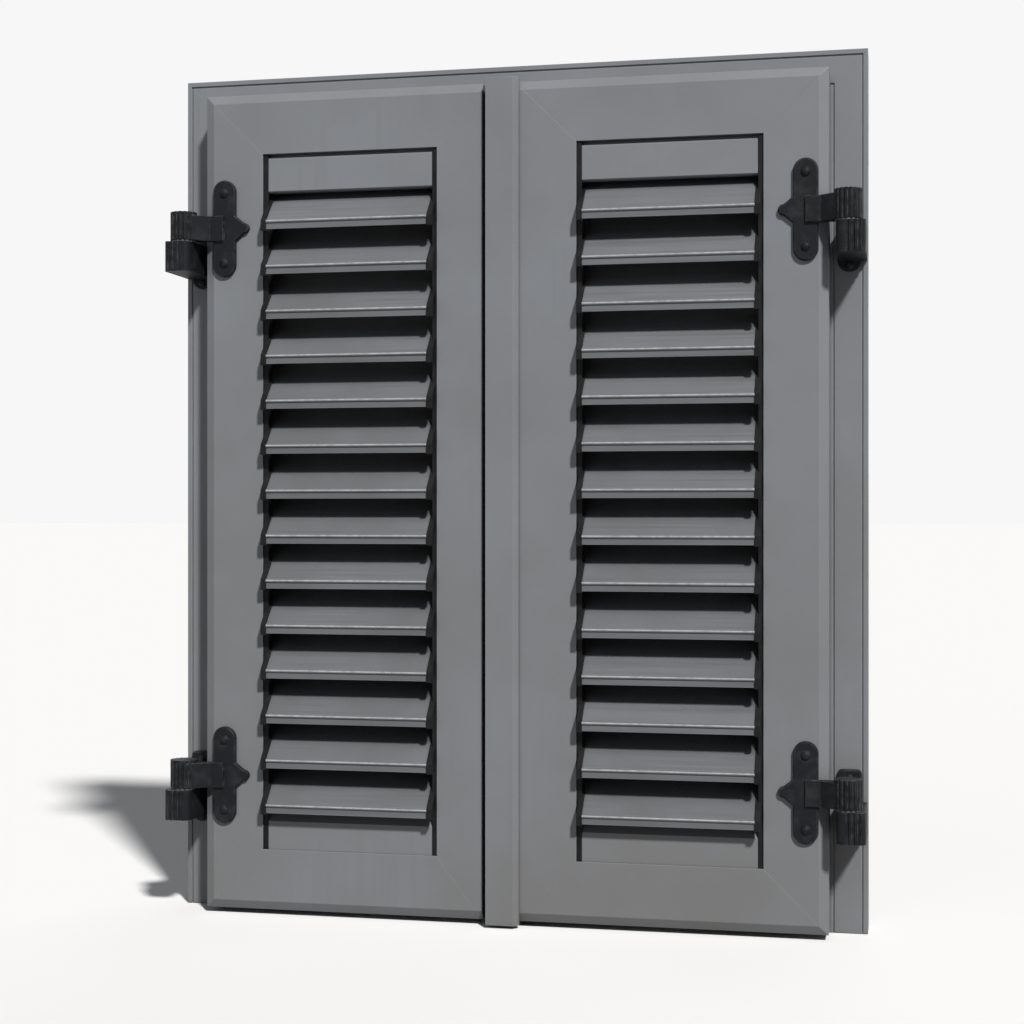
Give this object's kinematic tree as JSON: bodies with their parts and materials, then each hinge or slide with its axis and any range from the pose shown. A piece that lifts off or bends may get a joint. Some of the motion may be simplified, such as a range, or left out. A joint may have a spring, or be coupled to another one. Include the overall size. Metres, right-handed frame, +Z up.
{
  "type": "pair of louvred shutters in a frame",
  "caption": "Side-hung louvred shutters with fixed inclined slats, cast strap hinges, a rod lock and slide bolts, closed in their own fixed frame.",
  "frame": {"origin": "middle of the frame's foot, halfway through its depth", "axes": "+Z up, -Y towards the street, +X to the right seen from the street"},
  "size_m": [0.786, 0.182, 0.964],
  "materials": {
    "grey_paint": "satin",
    "black_fittings": "satin black coating",
    "black_clips": "matte",
    "zinc_steel": "zinc plated",
    "nylon": "matte"
  },
  "bodies": {
    "frame": {"head": "grey_paint", "left_jamb": "grey_paint", "right_jamb": "grey_paint", "bottom_bar": "grey_paint", "left_top_bracket": "black_fittings", "left_bottom_bracket": "black_fittings", "right_top_bracket": "black_fittings", "right_bottom_bracket": "black_fittings", "hinge_pins": "black_fittings", "hinge_washers": "nylon", "bracket_screws": "black_fittings", "top_keeper": "zinc_steel", "bottom_keeper": "zinc_steel", "keeper_screws": "zinc_steel"},
    "left_leaf": {"left_hinge_stile": "grey_paint", "left_meeting_stile": "grey_paint", "left_top_rail": "grey_paint", "left_bottom_rail": "grey_paint", "left_slats": "grey_paint", "left_top_filler": "grey_paint", "left_bottom_filler": "grey_paint", "left_inner_carrier": "black_clips", "left_outer_carrier": "black_clips", "left_inner_clips": "black_clips", "left_outer_clips": "black_clips", "left_top_strap": "black_fittings", "left_bottom_strap": "black_fittings", "left_strap_bolts": "black_fittings", "left_strap_nuts": "zinc_steel", "top_bolt_housing": "black_fittings", "bottom_bolt_housing": "black_fittings", "housing_screws": "zinc_steel"},
    "right_leaf": {"right_hinge_stile": "grey_paint", "right_meeting_stile": "grey_paint", "right_top_rail": "grey_paint", "right_bottom_rail": "grey_paint", "right_slats": "grey_paint", "right_top_filler": "grey_paint", "right_bottom_filler": "grey_paint", "right_inner_carrier": "black_clips", "right_outer_carrier": "black_clips", "right_inner_clips": "black_clips", "right_outer_clips": "black_clips", "right_top_strap": "black_fittings", "right_bottom_strap": "black_fittings", "right_strap_bolts": "black_fittings", "right_strap_nuts": "zinc_steel", "cover_strip": "grey_paint", "rod_guides": "black_fittings", "handle_catch": "black_fittings", "rod_screws": "zinc_steel"},
    "lock_rod": {"lock_rod": "black_fittings", "top_hook": "black_fittings", "bottom_hook": "black_fittings", "lock_handle": "black_fittings"},
    "top_bolt": {"top_slide_bolt": "zinc_steel"},
    "bottom_bolt": {"bottom_slide_bolt": "zinc_steel"}
  },
  "joints": [
    {"name": "left_leaf_swing", "type": "hinge", "parent": "frame", "child": "left_leaf", "pos_m": [-0.3735, -0.0835, 0], "axis": [0, 0, 1], "range_deg": [-178, 0]},
    {"name": "right_leaf_swing", "type": "hinge", "parent": "frame", "child": "right_leaf", "pos_m": [0.3735, -0.0835, 0], "axis": [0, 0, 1], "range_deg": [0, 178]},
    {"name": "rod_turn", "type": "hinge", "parent": "right_leaf", "child": "lock_rod", "pos_m": [0.0445, -0.0115, 0], "axis": [0, 0, 1], "range_deg": [-90, 0]},
    {"name": "top_bolt_slide", "type": "slide", "parent": "left_leaf", "child": "top_bolt", "axis": [0, 0, 1], "range_m": [0, 0.015]},
    {"name": "bottom_bolt_slide", "type": "slide", "parent": "left_leaf", "child": "bottom_bolt", "axis": [0, 0, -1], "range_m": [0, 0.015]}
  ]
}
